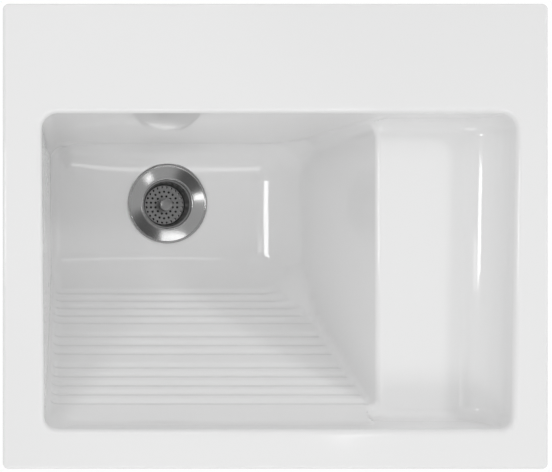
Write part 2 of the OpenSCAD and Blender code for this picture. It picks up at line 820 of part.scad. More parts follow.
module basket_cup() {
    wall_mid = 0.45;
    side_r = basket_floor_r + basket_foot / 2 + (basket_rim_r - basket_floor_r) * wall_mid;
    side_z = basket_foot + (basket_rim_z - basket_z - basket_foot) * wall_mid;
    color("silver")
        at_drain(basket_z)
            difference() {
                rotate_extrude()
                    polygon([
                        [post_r + fit_gap, 0],
                        [basket_floor_r - basket_foot, 0],
                        [basket_floor_r, basket_foot],
                        [basket_rim_r - basket_t, basket_rim_z - basket_z - basket_t],
                        [basket_rim_r, basket_rim_z - basket_z - basket_t],
                        [basket_rim_r, basket_rim_z - basket_z],
                        [basket_rim_r - 2 * basket_t, basket_rim_z - basket_z],
                        [basket_floor_r - basket_t, basket_foot + basket_t / 2],
                        [basket_floor_r - basket_foot - basket_t / 2, basket_t],
                        [post_r + fit_gap, basket_t]
                    ]);
                for (row = hole_rings, n = [0:row[0] - 1])
                    rotate([0, 0, (n + 0.5) * 360 / row[0]])
                        translate([row[1], 0, -overlap])
                            cylinder(r = basket_hole_r, h = basket_t + 2 * overlap, $fn = 24);
                for (n = [0:side_holes - 1])
                    rotate([0, 0, n * 360 / side_holes])
                        translate([side_r - side_cut / 2, 0, side_z])
                            rotate([0, 90, 0])
                                cylinder(r = basket_hole_r, h = side_cut, $fn = 24);
            }
}

collar_r = 6;
collar_h = 3;
stopper_top = basket_z - face_gap;
stopper_under = cup_floor + face_gap;
stopper_t = 4.5;
stopper_lap = 4;
stopper_r = spigot_bore_r + stopper_lap;
stopper_edge = 1;
stopper_hub_r = 8;
stopper_clip_t = 1.2;
stopper_clip_r = 5.5;
post_tip = 1.5;
knob_top = basket_z + knob_h;
knob_t = 6;
knob_edge = 1;
dome = 2;

module basket_post() {
    post_end = stopper_under - stopper_clip_t - post_tip;
    collar_z = basket_z + basket_t + 2 * fit_gap;
    knob_under = knob_top - knob_t;
    color("silver")
        at_drain()
            rotate_extrude()
                polygon([
                    [0, post_end],
                    [post_r, post_end],
                    [post_r, collar_z],
                    [collar_r, collar_z],
                    [collar_r, collar_z + collar_h],
                    [post_r, collar_z + collar_h + collar_r - post_r],
                    [post_r, knob_under - dome],
                    [knob_r - knob_edge, knob_under],
                    [knob_r, knob_under + knob_edge],
                    [knob_r, knob_top - dome - knob_edge],
                    for (a = [80:-20:20])
                        [knob_r * sin(a), knob_top - dome * (1 - cos(a))],
                    [0, knob_top]
                ]);
}

module basket_stopper() {
    color("black")
        at_drain()
            rotate_extrude()
                polygon([
                    [post_r, stopper_under],
                    [stopper_r - stopper_edge, stopper_under],
                    [stopper_r, stopper_under + stopper_edge],
                    [stopper_r, stopper_under + stopper_t - stopper_edge],
                    [stopper_hub_r, stopper_under + stopper_t],
                    [stopper_hub_r, stopper_top],
                    [post_r, stopper_top]
                ]);
}

module stopper_clip() {
    color("silver")
        at_drain()
            ring(stopper_clip_r, post_r, stopper_clip_t, stopper_under - stopper_clip_t);
}

// Waste: the tailpiece hangs by its flange from the coupling nut
tail_washer_t = 2;
tail_flange_t = 1.5;
tail_flange_gap = 0.9;
tail_flange_r = spigot_r - tail_flange_gap;
tail_top = spigot_end - tail_washer_t;
tail_end = tail_top - tail_flange_t - tail_len;
coupling_wall = 5;
coupling_r = spigot_r + coupling_wall;
coupling_over = 14;
coupling_lip = 3;
// The tailpiece swells a little at its top, which centres it in the nut
tail_neck_l = coupling_lip + 4;
tail_swell = 0.15;

module tail_washer() {
    color("white")
        at_drain()
            ring(tail_flange_r, tail_r - tail_wall, tail_washer_t, tail_top);
}

module tailpiece() {
    color("silver")
        at_drain()
            difference() {
                union() {
                    ring(tail_flange_r, tail_r - tail_wall, tail_flange_t, tail_top - tail_flange_t);
                    ring(tail_r, tail_r - tail_wall, tail_len + overlap, tail_end);
                    translate([0, 0, tail_end + tail_len - tail_neck_l])
                        cylinder(r1 = tail_r, r2 = tail_r + tail_swell, h = tail_neck_l + overlap);
                }
                translate([0, 0, tail_end - overlap])
                    cylinder(r = tail_r - tail_wall, h = tail_len + tail_flange_t + 2 * overlap);
            }
}

module coupling_nut() {
    z = tail_top - tail_flange_t - coupling_lip;
    color("silver")
        at_drain(z)
            difference() {
                cylinder(r = coupling_r, h = coupling_lip + tail_flange_t + tail_washer_t + coupling_over,
                    $fn = 8);
                translate([0, 0, -overlap])
                    cylinder(r = tail_r + face_gap, h = coupling_lip + 2 * overlap);
                translate([0, 0, coupling_lip])
                    cylinder(r = spigot_r + fit_gap, h = tail_flange_t + tail_washer_t + coupling_over
                        + overlap);
            }
}

sink_skin();
backing_laminate();
tap_deck_board();
rim_seal();
clip_blocks();
clip_inserts();
clip_screws();
clip_washers();
clip_back_left();
clip_back_right();
clip_front_left();
clip_front_right();
clip_left();
clip_right();
strainer_body();
flange_seal();
under_washer();
friction_ring();
lock_nut();
basket_cup();
basket_post();
basket_stopper();
stopper_clip();
tail_washer();
tailpiece();
coupling_nut();
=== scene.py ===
"""Drop-in laundry sink: its looks, lights and camera.

X runs to the sink's right, Y to its back and Z up. The origin is the middle of the worktop cut-out,
in the plane of the worktop's top. The moulding's sizes are in millimetres, and its depths are
measured from the deck, until a mesh is made. Everything else is in metres.
"""
import json
import math

import bpy
import numpy as np
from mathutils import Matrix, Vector


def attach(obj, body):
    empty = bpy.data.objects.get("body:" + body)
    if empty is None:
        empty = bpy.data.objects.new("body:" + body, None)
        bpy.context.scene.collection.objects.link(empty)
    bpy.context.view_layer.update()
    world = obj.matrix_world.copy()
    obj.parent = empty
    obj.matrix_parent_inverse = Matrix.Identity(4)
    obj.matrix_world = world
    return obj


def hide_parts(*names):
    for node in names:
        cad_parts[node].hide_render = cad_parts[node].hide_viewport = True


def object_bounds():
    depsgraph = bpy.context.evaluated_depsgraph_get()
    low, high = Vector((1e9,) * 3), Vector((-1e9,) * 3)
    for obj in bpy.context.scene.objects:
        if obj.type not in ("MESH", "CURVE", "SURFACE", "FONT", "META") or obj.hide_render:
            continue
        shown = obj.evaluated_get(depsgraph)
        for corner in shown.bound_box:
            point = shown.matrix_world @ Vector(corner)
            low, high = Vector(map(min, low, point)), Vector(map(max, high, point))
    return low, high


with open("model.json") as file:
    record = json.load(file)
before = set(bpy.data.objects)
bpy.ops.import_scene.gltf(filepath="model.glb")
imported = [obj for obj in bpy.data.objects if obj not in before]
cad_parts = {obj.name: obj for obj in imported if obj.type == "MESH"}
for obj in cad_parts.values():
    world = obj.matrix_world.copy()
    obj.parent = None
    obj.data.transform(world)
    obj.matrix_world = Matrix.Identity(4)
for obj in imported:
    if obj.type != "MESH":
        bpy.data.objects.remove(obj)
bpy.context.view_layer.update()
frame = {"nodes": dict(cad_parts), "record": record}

bpy.context.scene.view_settings.view_transform = "Standard"

MM = 0.001

# The moulding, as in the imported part
RIM_W, RIM_D, RIM_H = 635.0, 542.0, 12.0
RIM_CORNER_R, RIM_EDGE_R, LIP_R = 7.0, 4.0, 6.0
LEFT_X, RIGHT_X, BACK_Y, FRONT_Y = -272.5, 282.0, 144.0, -225.0
TAPER_LEFT, TAPER_RIGHT = 3.5, 6.0
SKIN_T, SHELL_T, LAMINATE_IN = 4.0, 8.0, 14.0
BACK_CORNER_R, FRONT_CORNER_R = 19.0, 14.0
BASIN_DEPTH, FLOOR_FALL = 290.0, 0.02
LEFT_LEAN, RIGHT_LEAN, BACK_LEAN, FRONT_LEAN, INNER_LEAN = np.radians([1.5, 2.0, 3.0, 3.0, 14.3])
INNER_FOOT_R, LEFT_FOOT_R, VALLEY_R = 55.0, 16.0, 8.0
BACK_FOOT_R, BACK_FOOT_LESS = 52.0, 11.0
SHELF_W, SHELF_DEPTH, CREST_R, SHELF_FOOT_R = 146.0, 60.0, 5.0, 40.0
SHELF_REACH, SHELF_REACH_R = 12.0, 4.0
CREST_X = RIGHT_X - SHELF_W
DRAIN_X, DRAIN_Y = LEFT_X + 176.5, BACK_Y - 96.0
FLOOR_Z = RIM_H - BASIN_DEPTH
# The same point of the basin's floor in metres
DRAIN = (DRAIN_X * MM, DRAIN_Y * MM, FLOOR_Z * MM)

# The washboard: an arc in the YZ plane with three groups of grooves
BOARD_TOP = np.array([FRONT_Y + 8.0, -45.0])
BOARD_FOOT = np.array([FRONT_Y + 155.0, -BASIN_DEPTH + 25.0])
BOARD_SAG, BOARD_FOOT_R, BOARD_HEAD_R = 7.0, 22.0, 3.5
BOARD_LEN = np.linalg.norm(BOARD_FOOT - BOARD_TOP)
BOARD_DIR = (BOARD_FOOT - BOARD_TOP) / BOARD_LEN
BOARD_UP = np.array([-BOARD_DIR[1], BOARD_DIR[0]])
BOARD_R = BOARD_LEN ** 2 / (8 * BOARD_SAG) + BOARD_SAG / 2
BOARD_CENTRE = (BOARD_TOP + BOARD_FOOT) / 2 + BOARD_UP * (BOARD_R - BOARD_SAG)
GROOVE_W, GROOVE_D, GROOVE_END, GROOVE_FADE = 14.5, 2.0, 1.0, 7.0
GROOVE_START, GROOVE_PITCH, LOW_GROOVE_PITCH, GROOVE_GAP = 28.5, 18.0, 15.4, 27.5
MIDDLE_START = GROOVE_START + 4 * GROOVE_PITCH + GROOVE_GAP
LOWER_START = MIDDLE_START + 2 * GROOVE_PITCH + GROOVE_GAP
GROOVE_PLACES = np.concatenate([
    GROOVE_START + GROOVE_PITCH * np.arange(5),
    MIDDLE_START + GROOVE_PITCH * np.arange(3),
    LOWER_START + LOW_GROOVE_PITCH * np.arange(5),
])

# The drain hole and the dished seat round it
DRAIN_HOLE_R, SEAT_R, PAD_R, PAD_CUT, DISH_SLOPE, SEAT_MARGIN = 43.5, 58.0, 56.0, 0.5, 0.2, 14.0

# The turned cutter for them starts and ends well clear of the skin
CUTTER_LOW, CUTTER_HIGH = -40, 30

# The point from which the surface is swept, above the deck, from which every wall is seen
EYE = np.array([20.0, -40.0, 260.0])
# How often a ray is halved, and the share of its way to the deck's level at which it starts
HALVINGS, RAY_START = 36, 0.95

# The grid over the basin: its reach and lines, and the cuts that its spacing follows
GRID_X, GRID_Y = (-281, 290, 243), (-233, 152, 273)
CUTS_ALONG_X, CUTS_ALONG_Y = (100.0, 10.0, -110.0, -150.0), (-100.0, -30.0, 190.0)
# Samples on a cut, the least weight of one, and the length in mm that weighs as much as a radian
SAMPLES, LEAST_WEIGHT, LENGTH_PER_RADIAN = 3001, 0.02, 60


def inner_round(a, b, r):
    """Depth in air beside two walls at depths a and b that meet in a hollow round of radius r."""
    corner = np.hypot(np.maximum(r - a, 0), np.maximum(r - b, 0))
    return np.maximum(r, np.minimum(a, b)) - corner


def outer_round(a, b, r):
    """The same beside an outside edge of radius r."""
    return -inner_round(-a, -b, r)


def ease(lo, hi, x):
    """0 below lo and 1 above hi, with a smooth step between: 3t^2 - 2t^3."""
    t = np.clip((x - lo) / (hi - lo), 0, 1)
    return t * t * (3 - 2 * t)


def groove_cut(along, inset):
    """Groove depth at a distance along the board: a cosine on each line, faded at its ends."""
    near = np.min([np.abs(along - place) for place in GROOVE_PLACES], axis=0)
    wave = np.where(near < GROOVE_W / 2, 0.5 + 0.5 * np.cos(2 * np.pi * near / GROOVE_W), 0)
    return GROOVE_D * wave * np.clip((inset - GROOVE_END) / GROOVE_FADE, 0, 1)


def air(x, y, z, grooves=True):
    """Signed distance from the moulding's upper surface, above 0 in the open.

    The floor, board and walls are planes and an arc. Their distances are joined two by two, by
    inner_round in the hollows and by outer_round at the crest and the lip. The layers below, which
    have no grooves, stay flat all round the drain's seat, where the back wall's round is cut.
    """
    taper = (BACK_Y - y) / (BACK_Y - FRONT_Y)
    from_drain = np.hypot(x - DRAIN_X, y - DRAIN_Y) - SEAT_R
    from_floor = z + BASIN_DEPTH - FLOOR_FALL * np.maximum(from_drain, 0)
    from_left = (x - LEFT_X - TAPER_LEFT * taper) * np.cos(LEFT_LEAN) + z * np.sin(LEFT_LEAN)
    from_right = (RIGHT_X - TAPER_RIGHT * taper - x) * np.cos(RIGHT_LEAN) + z * np.sin(RIGHT_LEAN)
    from_back = (BACK_Y - y) * np.cos(BACK_LEAN) + z * np.sin(BACK_LEAN)
    from_front = (y - FRONT_Y) * np.cos(FRONT_LEAN) + z * np.sin(FRONT_LEAN)
    from_inner = (CREST_X - x) * np.cos(INNER_LEAN) + (z + SHELF_DEPTH) * np.sin(INNER_LEAN)
    from_board = BOARD_R - np.hypot(y - BOARD_CENTRE[0], z - BOARD_CENTRE[1])
    if grooves:
        along = (y - BOARD_TOP[0]) * BOARD_DIR[0] + (z - BOARD_TOP[1]) * BOARD_DIR[1]
        cut = groove_cut(along, np.minimum(from_left, from_inner))
        from_board = from_board + np.where(np.abs(from_board) > 2 * GROOVE_D, 0, cut)
    growth = ease(BASIN_DEPTH - 1.6 * INNER_FOOT_R, BASIN_DEPTH - INNER_FOOT_R / 2, -z)
    deep = inner_round(from_floor, from_board, BOARD_FOOT_R)
    deep = inner_round(deep, from_inner, VALLEY_R + (INNER_FOOT_R - VALLEY_R) * growth)
    deep = inner_round(deep, from_left, LEFT_FOOT_R)
    shelf = inner_round(z + SHELF_DEPTH, from_right, SHELF_FOOT_R)
    shelf = inner_round(shelf, x - CREST_X + SHELF_REACH, SHELF_REACH_R)
    both = outer_round(deep, shelf, CREST_R)
    middle = ease(LEFT_X + FRONT_CORNER_R, LEFT_X + 3 * FRONT_CORNER_R, x)
    middle = middle * (1 - ease(CREST_X - SHELF_REACH, CREST_X + SHELF_REACH, x))
    front_r = FRONT_CORNER_R + (BOARD_HEAD_R - FRONT_CORNER_R) * middle
    open_air = inner_round(both, from_front, front_r)
    foot_r = BACK_FOOT_R - BACK_FOOT_LESS * (1 - ease(LEFT_FOOT_R, 2 * BACK_FOOT_R, from_left))
    growth = ease(BASIN_DEPTH - 1.6 * BACK_FOOT_R, BASIN_DEPTH - BACK_FOOT_R / 2, -z)
    growth = growth * ease(LEFT_FOOT_R / 2, 2 * LEFT_FOOT_R, from_left)
    basin = inner_round(open_air, from_back, BACK_CORNER_R + (foot_r - BACK_CORNER_R) * growth)
    if not grooves:
        seat = np.minimum(inner_round(open_air, from_back, BACK_CORNER_R), SEAT_MARGIN - from_drain)
        basin = np.maximum(basin, seat)
    return outer_round(z, basin, LIP_R)


def outside(x, y, z, grooves=True):
    """The same field with the rim's outer edge joined to it, for the normals of the whole skin."""
    across = np.abs(x) - RIM_W / 2 + RIM_CORNER_R
    deep = np.abs(y) - RIM_D / 2 + RIM_CORNER_R
    beyond = np.hypot(np.maximum(across, 0), np.maximum(deep, 0))
    rim = beyond + np.minimum(np.maximum(across, deep), 0) - RIM_CORNER_R
    return outer_round(air(x, y, z, grooves), rim, RIM_EDGE_R)


def cast(x, y, plane, grooves=True):
    """Points at depth -plane behind the surface, on rays from EYE through (x, y, plane).

    Each ray is halved between the open air and a point below the sink until it meets the level.
    """
    way = np.stack([x - EYE[0], y - EYE[1], np.full(x.shape, plane - EYE[2])])
    origin = EYE.reshape((3,) + (1,) * x.ndim)
    near = np.full(x.shape, RAY_START)
    far = np.full(x.shape, (EYE[2] + BASIN_DEPTH + 3 * SHELL_T) / (EYE[2] - plane))
    for _ in range(HALVINGS):
        middle = (near + far) / 2
        is_open = air(*(origin + middle * way), grooves) > plane
        near, far = np.where(is_open, middle, near), np.where(is_open, far, middle)
    return np.moveaxis(origin + near * way, 0, -1)


def even_lines(lo, hi, count, cuts):
    """Lines from lo to hi, closer where the cuts through the surface run long or turn."""
    at = np.linspace(lo, hi, SAMPLES)
    weight = np.full(at.size - 1, LEAST_WEIGHT)
    for cut in cuts:
        step = np.diff(cut(at), axis=0)
        length = np.linalg.norm(step, axis=1)
        dots = np.sum(step[1:] * step[:-1], axis=1) / (length[1:] * length[:-1])
        turn = np.arccos(np.clip(dots, -1, 1))
        weight += length / LENGTH_PER_RADIAN + np.append(turn, 0) + np.append(0, turn)
    total = np.append(0, np.cumsum(weight))
    return np.interp(np.linspace(0, total[-1], count), total, at)


def with_rim(inner, half):
    """The lines of the basin with those of the deck's outer corners, which end at half."""
    corner = half - RIM_CORNER_R * np.array([0, 0.1, 0.2, 0.3, 0.4, 0.5, 1])
    return np.concatenate([-corner, inner, corner[::-1]])


def edge_order(nx, ny):
    """Grid indices along its edge, anticlockwise from the front left corner."""
    index = np.arange(nx * ny).reshape(nx, ny)
    return np.concatenate([index[:-1, 0], index[-1, :-1], index[:0:-1, -1], index[0, :0:-1]])


def fanned(edge, half_x, half_y, out, z):
    """Edge points of a square-cornered grid moved outward, and turned about its corners.

    In the last stretch before a corner a point first slides to the corner, and then its way out
    turns to 45 degrees.
    """
    x, y = edge[:, 0], edge[:, 1]
    on_x_side = np.abs(x) > half_x - 1e-6
    zone_x = np.clip((np.abs(x) - half_x + RIM_CORNER_R) / RIM_CORNER_R, 0, 1)
    zone_y = np.clip((np.abs(y) - half_y + RIM_CORNER_R) / RIM_CORNER_R, 0, 1)
    zone = np.where(on_x_side, zone_y, zone_x)
    slide = RIM_CORNER_R * (np.clip(2 * zone, 0, 1) - zone)
    turn = np.clip(2 * zone - 1, 0, 1) * np.pi / 4
    far_x = np.where(on_x_side, half_x + out * np.cos(turn), np.abs(x) + slide + out * np.sin(turn))
    far_y = np.where(on_x_side, np.abs(y) + slide + out * np.sin(turn), half_y + out * np.cos(turn))
    return np.stack([np.sign(x) * far_x, np.sign(y) * far_y, np.full(x.shape, z)], axis=-1)


def new_object(name, points, faces):
    """A mesh object from points in metres and a list of face arrays, each with one corner count."""
    mesh = bpy.data.meshes.new(name)
    corners = np.concatenate([f.ravel() for f in faces])
    sizes = np.concatenate([np.full(len(f), f.shape[1]) for f in faces])
    mesh.vertices.add(len(points))
    mesh.vertices.foreach_set("co", np.ascontiguousarray(points, dtype=np.float32).ravel())
    mesh.loops.add(len(corners))
    mesh.loops.foreach_set("vertex_index", corners.astype(np.int32))
    mesh.polygons.add(len(sizes))
    mesh.polygons.foreach_set("loop_start", (np.cumsum(sizes) - sizes).astype(np.int32))
    mesh.polygons.foreach_set("use_smooth", np.ones(len(sizes), dtype=bool))
    mesh.update(calc_edges=True)
    obj = bpy.data.objects.new(name, mesh)
    bpy.context.scene.collection.objects.link(obj)
    return obj


def strips(loops):
    """Quads between loops of equal length, each loop a row of vertex indices."""
    a, b = loops[:-1], loops[1:]
    quads = np.stack([a, b, np.roll(b, -1, axis=1), np.roll(a, -1, axis=1)], axis=-1)
    return quads.reshape(-1, 4)


def grid_quads(nx, ny):
    """Quads of a grid, facing up."""
    index = np.arange(nx * ny).reshape(nx, ny)
    quads = [index[:-1, :-1], index[1:, :-1], index[1:, 1:], index[:-1, 1:]]
    return np.stack(quads, axis=-1).reshape(-1, 4)


def moulded_shell(name, lines_x, lines_y, top, under, outer, inner, grooves, thin):
    """A closed shell: a swept grid on top, loops round its edge, and a thinner grid below.

    top and under are the depths of the two grids. outer and inner hold the loops round the rim,
    each (out, z). The last outer and the first inner loop lie in one plane, and the faces between
    them take up the change from every line to every second one where thin is 2.
    """
    half_x, half_y = lines_x[-1], lines_y[-1]
    points, loops, faces, count = [], [], [], 0
    for depth, rims, pick, with_grooves in ((top, outer, 1, grooves), (under, inner, thin, False)):
        gx, gy = np.meshgrid(lines_x[::pick], lines_y[::pick], indexing="ij")
        grid = cast(gx, gy, depth, with_grooves).reshape(-1, 3)
        order = edge_order(*gx.shape)
        rim = [fanned(grid[order], half_x, half_y, out, z) for out, z in rims]
        is_top = pick == 1 and depth == top
        quads = grid_quads(*gx.shape) + count
        rows = [order + count]
        start, turn = count + len(grid), np.arange(len(order))
        rows += [start + k * len(order) + turn for k in range(len(rims))]
        rows = np.array(rows if is_top else rows[1:] + rows[:1])
        faces += [quads if is_top else quads[:, ::-1], strips(rows)]
        loops.append(rows)
        points += [grid] + rim
        count += len(grid) + len(order) * len(rims)
    wide, narrow = loops[0][-1], loops[1][0]
    if thin == 1:
        faces.append(strips(np.array([wide, narrow])))
    else:
        n, k = len(narrow), np.arange(len(narrow))
        after = (k + 1) % n
        faces.append(np.stack([
            wide[2 * k], narrow, narrow[after], wide[2 * after], wide[2 * k + 1],
        ], axis=-1))
    lifted = np.concatenate(points) + np.array([0, 0, RIM_H])
    return new_object(name, lifted * MM, faces)


def lathe(name, profile, centre, segments=128):
    """Surface of revolution: the profile's (r, z) points turned about the axis at centre.

    Points on the axis become one vertex each, and the profile runs so that its left side is inside.
    """
    profile = np.array(profile, dtype=float)
    angle = np.arange(segments) * 2 * np.pi / segments
    rings = np.stack([
        np.outer(profile[:, 0], np.cos(angle)), np.outer(profile[:, 0], np.sin(angle)),
        np.repeat(profile[:, 1:], segments, axis=1),
    ], axis=-1)
    closed = profile[0, 0] > 0
    index = np.arange(len(profile) * segments).reshape(len(profile), segments)
    if closed:
        faces = [strips(np.vstack([index, index[:1]]))]
        points = rings.reshape(-1, 3)
    else:
        body = index[1:-1] - segments + 1
        tip = body.max() + 1
        first, last = body[0], body[-1]
        faces = [
            strips(body),
            np.stack([np.zeros(segments, int), first, np.roll(first, -1)], axis=-1),
            np.stack([last, np.full(segments, tip), np.roll(last, -1)], axis=-1),
        ]
        points = np.concatenate([rings[0, :1], rings[1:-1].reshape(-1, 3), rings[-1, :1]])
    outward = [f[:, ::-1] for f in faces]
    obj = new_object(name, points * MM + np.array(centre), outward)
    obj.data.set_sharp_from_angle(angle=math.radians(35))
    return obj


def rounded(corners, steps=7):
    """A profile with its corners rounded: each corner is (r, z, cut).

    The curve leaves the straight at the distance cut before the corner and joins the next at the
    same distance after it, along (1 - t)^2 start + 2t(1 - t) corner + t^2 end.
    """
    corners = np.array(corners, dtype=float)
    here, cut = corners[:, :2], corners[:, 2:]
    before, after = np.roll(here, 1, axis=0) - here, np.roll(here, -1, axis=0) - here
    start = here + before * cut / np.linalg.norm(before, axis=1, keepdims=True)
    end = here + after * cut / np.linalg.norm(after, axis=1, keepdims=True)
    t = np.linspace(0, 1, steps).reshape(1, -1, 1)
    arcs = (1 - t) ** 2 * start[:, None] + 2 * t * (1 - t) * here[:, None] + t * t * end[:, None]
    keep = [arcs[k] if corners[k, 2] > 0 else here[k:k + 1] for k in range(len(corners))]
    return np.concatenate(keep)


def cut_drain(obj):
    """Cuts the drain hole, the dished seat and the washer's flat pad with one turned cutter."""
    seat_low = -DISH_SLOPE * (SEAT_R - DRAIN_HOLE_R)
    pad_z = PAD_CUT - SHELL_T
    profile = [
        (0, CUTTER_LOW), (PAD_R, CUTTER_LOW), (PAD_R, pad_z), (DRAIN_HOLE_R, pad_z),
        (DRAIN_HOLE_R, seat_low), (SEAT_R, 0), (SEAT_R, CUTTER_HIGH), (0, CUTTER_HIGH),
    ]
    cutter = lathe("cutter", profile, DRAIN)
    cut = obj.modifiers.new("drain", "BOOLEAN")
    cut.operation, cut.solver, cut.object = "DIFFERENCE", "EXACT", cutter
    graph = bpy.context.evaluated_depsgraph_get()
    solid = bpy.data.meshes.new_from_object(obj.evaluated_get(graph))
    old = obj.data
    obj.modifiers.clear()
    obj.data = solid
    bpy.data.meshes.remove(old)
    bpy.data.objects.remove(cutter)


def true_normals(obj, field):
    """Corner normals from the field's own slope, where the face is within 60 degrees of it."""
    mesh = obj.data
    points = np.empty(len(mesh.vertices) * 3)
    mesh.vertices.foreach_get("co", points)
    points = points.reshape(-1, 3) / MM - np.array([0, 0, RIM_H])
    step = 0.02
    slope = np.stack([
        field(*(points + step * axis).T) - field(*(points - step * axis).T) for axis in np.eye(3)
    ], axis=-1)
    slope /= np.maximum(np.linalg.norm(slope, axis=1, keepdims=True), 1e-9)
    corners = np.empty(len(mesh.loops), dtype=np.int32)
    mesh.loops.foreach_get("vertex_index", corners)
    flat = np.empty(len(mesh.polygons) * 3)
    mesh.polygons.foreach_get("normal", flat)
    sizes = np.empty(len(mesh.polygons), dtype=np.int32)
    mesh.polygons.foreach_get("loop_total", sizes)
    flat = np.repeat(flat.reshape(-1, 3), sizes, axis=0)
    normal = slope[corners]
    side = np.sum(normal * flat, axis=1)
    normal = np.where(np.abs(side)[:, None] > 0.5, normal * np.sign(side)[:, None], flat)
    mesh.normals_split_custom_set(normal.tolist())


def material(name, color, roughness, metallic=0.0, **sockets):
    """A Principled material. sockets are further inputs, with _ for a space."""
    mat = bpy.data.materials.new(name)
    mat.use_nodes = True
    shader = mat.node_tree.nodes["Principled BSDF"]
    shader.inputs["Base Color"].default_value = (*color, 1)
    shader.inputs["Roughness"].default_value = roughness
    shader.inputs["Metallic"].default_value = metallic
    for key, value in sockets.items():
        shader.inputs[key.replace("_", " ")].default_value = value
    return mat


def noise(mat, scale, detail=3, stretch=(1, 1, 1), turn=(0, 0, 0)):
    """Noise on Object coordinates, its grain stretched and turned by a Mapping node."""
    nodes, links = mat.node_tree.nodes, mat.node_tree.links
    place = nodes.new("ShaderNodeTexCoord")
    mapping = nodes.new("ShaderNodeMapping")
    mapping.inputs["Scale"].default_value = stretch
    mapping.inputs["Rotation"].default_value = turn
    texture = nodes.new("ShaderNodeTexNoise")
    texture.inputs["Scale"].default_value = scale
    texture.inputs["Detail"].default_value = detail
    links.new(place.outputs["Object"], mapping.inputs["Vector"])
    links.new(mapping.outputs["Vector"], texture.inputs["Vector"])
    return texture.outputs["Fac"]


def bump(mat, heights, distance):
    """Adds a bump to the shader. distance is the height in metres of a full step."""
    nodes, links = mat.node_tree.nodes, mat.node_tree.links
    shader = nodes["Principled BSDF"]
    node = nodes.new("ShaderNodeBump")
    node.inputs["Strength"].default_value = 1.0
    node.inputs["Distance"].default_value = distance
    links.new(heights, node.inputs["Height"])
    if shader.inputs["Normal"].is_linked:
        links.new(shader.inputs["Normal"].links[0].from_socket, node.inputs["Normal"])
    links.new(node.outputs["Normal"], shader.inputs["Normal"])


def vary(mat, values, socket, lo, hi):
    """Runs a shader input between lo and hi with the values."""
    nodes, links = mat.node_tree.nodes, mat.node_tree.links
    span = nodes.new("ShaderNodeMapRange")
    span.inputs["From Min"].default_value = 0.3
    span.inputs["From Max"].default_value = 0.7
    span.inputs["To Min"].default_value = lo
    span.inputs["To Max"].default_value = hi
    links.new(values, span.inputs["Value"])
    links.new(span.outputs["Result"], nodes["Principled BSDF"].inputs[socket])


def tint(mat, values, low, high):
    """Mixes the base colour between two colours with the values."""
    nodes, links = mat.node_tree.nodes, mat.node_tree.links
    ramp = nodes.new("ShaderNodeValToRGB")
    ramp.color_ramp.elements[0].position = 0.35
    ramp.color_ramp.elements[0].color = (*low, 1)
    ramp.color_ramp.elements[1].position = 0.65
    ramp.color_ramp.elements[1].color = (*high, 1)
    links.new(values, ramp.inputs["Fac"])
    links.new(ramp.outputs["Color"], nodes["Principled BSDF"].inputs["Base Color"])


def gloss_white():
    """White gel coat: hard, glossy, with a faint waviness and handling haze."""
    mat = material("gloss_white", (0.84, 0.84, 0.84), 0.07, IOR=1.5)
    bump(mat, noise(mat, 22, 2), 0.00006)
    vary(mat, noise(mat, 9, 4), "Roughness", 0.055, 0.10)
    return mat


def laminate():
    """Rolled glass fibre: chopped strands in two directions under a thin resin coat."""
    mat = material("laminate", (0.72, 0.70, 0.62), 0.42)
    strands = noise(mat, 160, 4, (1, 7, 3), (0, 0, 0.5))
    crossed = noise(mat, 160, 4, (7, 1, 3), (0, 0, -0.4))
    tint(mat, strands, (0.60, 0.58, 0.49), (0.80, 0.78, 0.71))
    bump(mat, strands, 0.0008)
    bump(mat, crossed, 0.0006)
    vary(mat, crossed, "Roughness", 0.3, 0.6)
    return mat


def plywood():
    """Sealed plywood: long grain along X with darker lines."""
    mat = material("board", (0.62, 0.46, 0.29), 0.55)
    grain = noise(mat, 40, 6, (0.6, 9, 9))
    tint(mat, grain, (0.47, 0.32, 0.17), (0.72, 0.56, 0.37))
    bump(mat, grain, 0.0004)
    return mat


def foam():
    """Grey closed-cell foam with open pores on its cut faces."""
    mat = material("foam", (0.35, 0.36, 0.37), 0.9)
    pores = noise(mat, 900, 2)
    tint(mat, pores, (0.26, 0.27, 0.28), (0.42, 0.43, 0.44))
    bump(mat, pores, 0.0006)
    return mat


def metal(name, color, roughness, wear, lines=(1, 1, 1), depth=0.00002, scale=300):
    """A bare or plated metal: a fine bump from noise stretched by lines, and a patchy gloss."""
    mat = material(name, color, roughness, 1.0)
    vary(mat, noise(mat, 35, 4), "Roughness", roughness * (1 - wear), roughness * (1 + wear))
    bump(mat, noise(mat, scale, 3, lines), depth)
    return mat


def rubber():
    """Black moulded rubber with a dusty bloom."""
    mat = material("black_rubber", (0.02, 0.02, 0.02), 0.6)
    bloom = noise(mat, 60, 5)
    tint(mat, bloom, (0.012, 0.012, 0.012), (0.045, 0.044, 0.042))
    bump(mat, noise(mat, 700, 2), 0.0001)
    return mat


def pressed_fibre():
    """Tan pressed fibre with short flecks."""
    mat = material("fibre", (0.50, 0.36, 0.22), 0.85)
    flecks = noise(mat, 500, 5, (1, 4, 1))
    tint(mat, flecks, (0.38, 0.26, 0.14), (0.60, 0.45, 0.29))
    bump(mat, flecks, 0.0003)
    return mat


def nylon():
    """White nylon, slightly waxy."""
    mat = material("white_nylon", (0.82, 0.82, 0.78), 0.4, Subsurface_Weight=0.2)
    bump(mat, noise(mat, 400, 2), 0.00005)
    return mat


